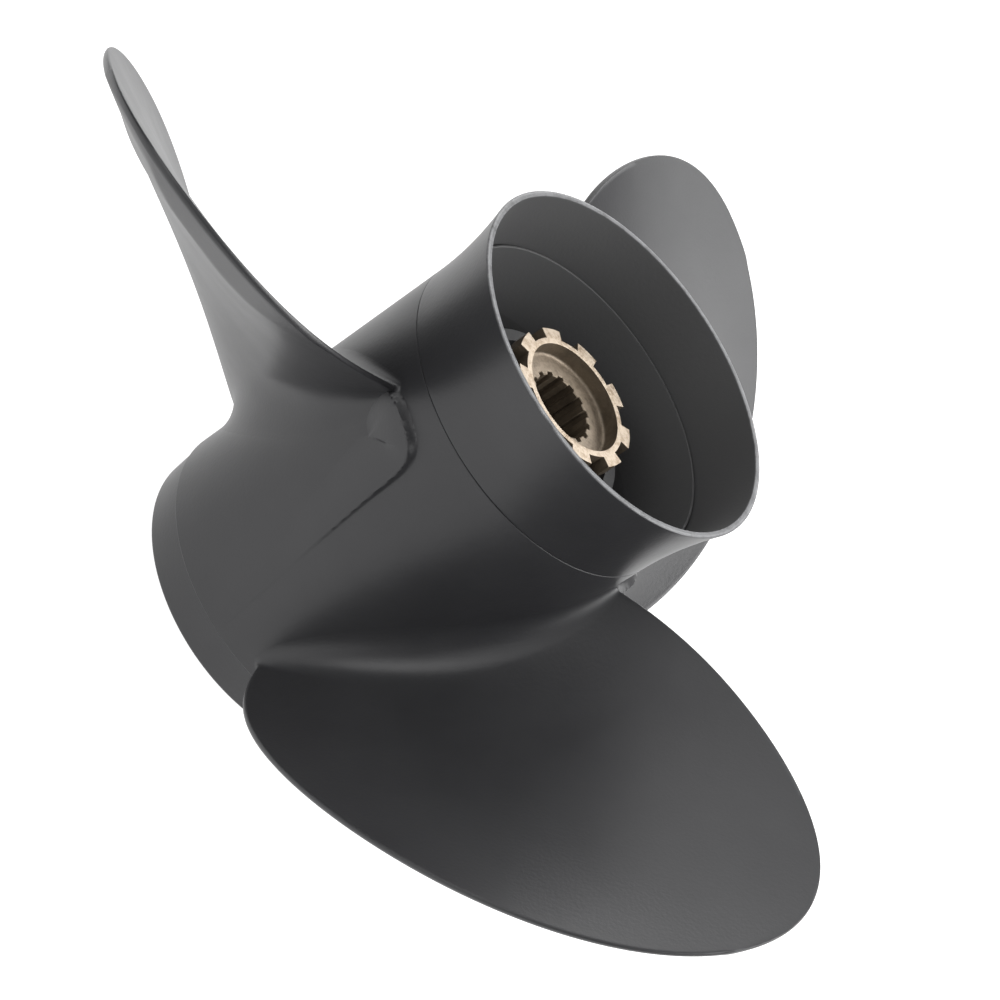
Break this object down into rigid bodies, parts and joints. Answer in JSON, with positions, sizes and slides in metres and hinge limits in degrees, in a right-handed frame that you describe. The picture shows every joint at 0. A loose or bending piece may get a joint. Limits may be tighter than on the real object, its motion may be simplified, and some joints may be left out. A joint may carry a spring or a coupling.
{
  "type": "outboard boat propeller",
  "caption": "Right-hand bladed outboard propeller with through-hub exhaust barrel, flared diffuser ring and a splined bronze drive hub on a rubber damper.",
  "frame": {"origin": "centre of the barrel's forward rim, on the shaft axis", "axes": "+Z along the shaft axis, aft, towards the propeller nut; +X along the radial reference line of the first blade; the propeller stands on its forward rim"},
  "size_m": [0.3052, 0.3173, 0.1533],
  "materials": {
    "black_painted_aluminium": "satin black paint on cast aluminium",
    "black_painted_ring": "satin black paint on turned aluminium, worn grey on the aft rim",
    "cast_bronze": "as-cast, blasted bronze with machined spline",
    "damper_rubber": "matte"
  },
  "bodies": {
    "propeller": {"propeller_casting": "black_painted_aluminium", "diffuser_ring": "black_painted_ring"},
    "damper": {"damper_bush": "damper_rubber"},
    "drive_hub": {"drive_hub": "cast_bronze"}
  },
  "joints": [
    {"name": "overload_slip", "type": "hinge", "parent": "propeller", "child": "damper", "pos_m": [0, 0, 0.07], "axis": [0, 0, 1], "continuous": true},
    {"name": "damper_windup", "type": "hinge", "parent": "damper", "child": "drive_hub", "pos_m": [0, 0, 0.07], "axis": [0, 0, 1], "range_deg": [-8, 8], "stiffness_Nm_per_rad": 2500}
  ]
}
